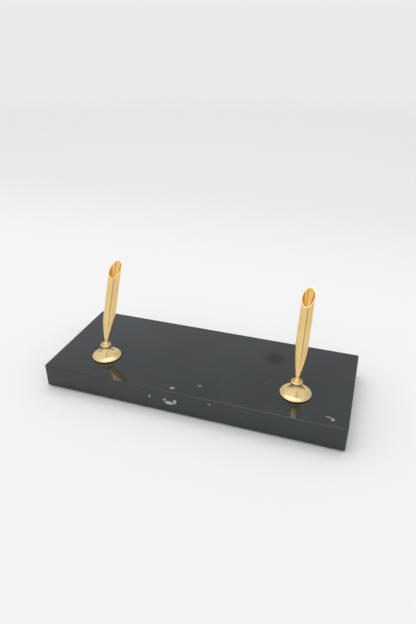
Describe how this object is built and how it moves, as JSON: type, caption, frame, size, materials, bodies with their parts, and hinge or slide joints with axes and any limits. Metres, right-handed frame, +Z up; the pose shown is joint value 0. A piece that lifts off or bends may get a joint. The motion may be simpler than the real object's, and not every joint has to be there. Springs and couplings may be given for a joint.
{
  "type": "desk pen stand",
  "caption": "Polished stone slab with slant-mouthed brass pen funnels, each on a ball swivel in a bell-shaped flange.",
  "frame": {"origin": "under the middle of the slab, on the felt's underside", "axes": "+X runs along the slab to the right, +Y to its back, +Z up"},
  "size_m": [0.25, 0.1, 0.0892],
  "materials": {
    "stone": "polished black marble with small white flecks",
    "felt": "felt",
    "gilt": "polished, gold plated",
    "plated_steel": "zinc plated",
    "spring_steel": "bare hardened steel",
    "liner_plastic": "moulded, matte",
    "seat_plastic": "moulded, smooth",
    "fibre": "pressed fibre",
    "gasket_rubber": "matte sheet"
  },
  "bodies": {
    "base": {"stone_slab": "stone", "felt_pad": "felt", "left_bell": "gilt", "left_collar": "gilt", "left_gasket": "gasket_rubber", "left_stud": "plated_steel", "left_plain_washer": "plated_steel", "left_lock_washer": "spring_steel", "left_hex_nut": "plated_steel", "left_lower_spring": "spring_steel", "left_upper_spring": "spring_steel", "right_bell": "gilt", "right_collar": "gilt", "right_gasket": "gasket_rubber", "right_stud": "plated_steel", "right_plain_washer": "plated_steel", "right_lock_washer": "spring_steel", "right_hex_nut": "plated_steel", "right_lower_spring": "spring_steel", "right_upper_spring": "spring_steel"},
    "left_seat": {"left_ball_seat": "seat_plastic"},
    "left_ball": {"left_ball_stud": "gilt", "left_tail_washer": "fibre", "left_tail_nut": "plated_steel"},
    "left_socket": {"left_funnel": "gilt", "left_nib_liner": "liner_plastic"},
    "right_seat": {"right_ball_seat": "seat_plastic"},
    "right_ball": {"right_ball_stud": "gilt", "right_tail_washer": "fibre", "right_tail_nut": "plated_steel"},
    "right_socket": {"right_funnel": "gilt", "right_nib_liner": "liner_plastic"}
  },
  "joints": [
    {"name": "left_turn", "type": "hinge", "parent": "base", "child": "left_seat", "pos_m": [-0.082, -0.02, 0.03131], "axis": [0, 0, 1], "continuous": true},
    {"name": "left_lean", "type": "hinge", "parent": "left_seat", "child": "left_ball", "pos_m": [-0.082, -0.02, 0.03131], "axis": [-0.9863, -0.165, 0], "range_deg": [-75, 1]},
    {"name": "left_spin", "type": "hinge", "parent": "left_ball", "child": "left_socket", "pos_m": [-0.082, -0.02, 0.03131], "axis": [-0.0993, 0.5936, 0.7986], "continuous": true},
    {"name": "right_turn", "type": "hinge", "parent": "base", "child": "right_seat", "pos_m": [0.082, -0.02, 0.03131], "axis": [0, 0, 1], "continuous": true},
    {"name": "right_lean", "type": "hinge", "parent": "right_seat", "child": "right_ball", "pos_m": [0.082, -0.02, 0.03131], "axis": [-0.9986, -0.0523, 0], "range_deg": [-75, 1]},
    {"name": "right_spin", "type": "hinge", "parent": "right_ball", "child": "right_socket", "pos_m": [0.082, -0.02, 0.03131], "axis": [-0.0315, 0.601, 0.7986], "continuous": true}
  ]
}
